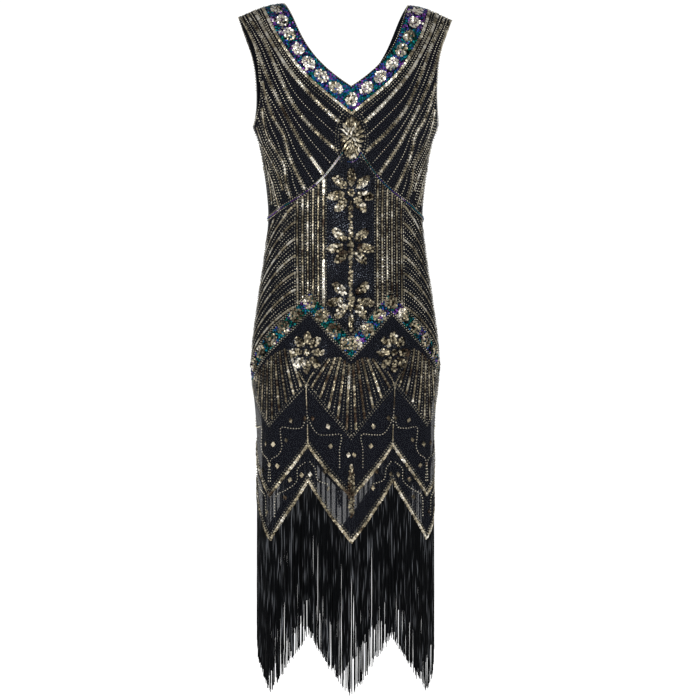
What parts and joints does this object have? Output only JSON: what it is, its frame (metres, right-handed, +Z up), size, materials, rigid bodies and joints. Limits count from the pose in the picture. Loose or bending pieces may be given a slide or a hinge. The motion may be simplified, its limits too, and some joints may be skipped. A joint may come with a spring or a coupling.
{
  "type": "flapper dress",
  "caption": "Sleeveless V-neck flapper dress of black net worked with gold sequins and beads over a slip, zigzag hems and long fringe, filled out as worn.",
  "frame": {"origin": "halfway between the two shoulder seams, level with their neck ends", "axes": "+Z up, front of the dress faces -Y, +X towards the wearer's left; the two halves mirror about X = 0"},
  "size_m": [0.354, 0.23, 1.133],
  "materials": {
    "net": "fine black polyester net worked with gold sequins and seed beads",
    "slip": "opaque black polyester satin, matt side out",
    "fringe": "twisted black rayon strands with a silky lustre"
  },
  "bodies": {
    "root": {"net_front": "net", "net_back": "net", "slip_front": "slip", "slip_back": "slip", "fringe_upper_front": "fringe", "fringe_upper_back": "fringe", "fringe_lower_front": "fringe", "fringe_lower_back": "fringe"}
  },
  "joints": []
}
